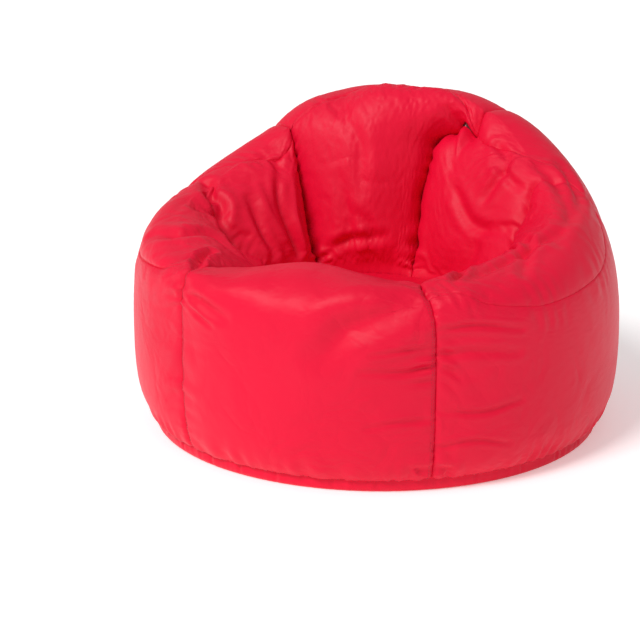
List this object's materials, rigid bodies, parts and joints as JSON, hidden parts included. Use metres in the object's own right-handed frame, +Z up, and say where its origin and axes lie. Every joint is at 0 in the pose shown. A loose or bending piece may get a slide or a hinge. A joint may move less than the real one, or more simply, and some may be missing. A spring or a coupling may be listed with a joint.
{
  "type": "bean bag chair",
  "caption": "Round fabric bean bag armchair with a hollow seat, two rounded arms, a high back and a zip in the back seam.",
  "frame": {"origin": "middle of the base where it meets the floor", "axes": "+Z up, -Y the way the sitter faces, +X to the right of somebody who stands in front of the chair and looks at it"},
  "size_m": [0.9598, 0.9584, 0.6308],
  "materials": {
    "cover": "coated polyester weave, soft sheen",
    "liner": "thin plain nonwoven",
    "beads": "expanded polystyrene beads, modelled as one solid",
    "zip_tape": "woven tape",
    "zip_coil": "moulded nylon coil",
    "zip_metal": "die-cast zinc, lacquered"
  },
  "bodies": {
    "chair": {"base_panel": "cover", "front_panel": "cover", "right_side_panel": "cover", "left_side_panel": "cover", "inner_right_panel": "cover", "inner_back_panel": "cover", "inner_left_panel": "cover", "seat_panel": "cover", "inner_liner": "liner", "bead_fill": "beads", "zip_tape_left": "zip_tape", "zip_tape_right": "zip_tape", "zip_coil_left": "zip_coil", "zip_coil_right": "zip_coil", "zip_bottom_stop": "zip_metal", "zip_top_stop": "zip_metal"},
    "zip_slider": {"zip_slider": "zip_metal"},
    "zip_pull": {"zip_pull": "zip_metal"}
  },
  "joints": [
    {"name": "zip_slide", "type": "slide", "parent": "chair", "child": "zip_slider", "axis": [0, -0.027, 0.9996], "range_m": [0, 0.261]},
    {"name": "pull_hinge", "type": "hinge", "parent": "zip_slider", "child": "zip_pull", "pos_m": [0, 0.47622, 0.09635], "axis": [1, 0, 0], "range_deg": [0, 170]}
  ]
}
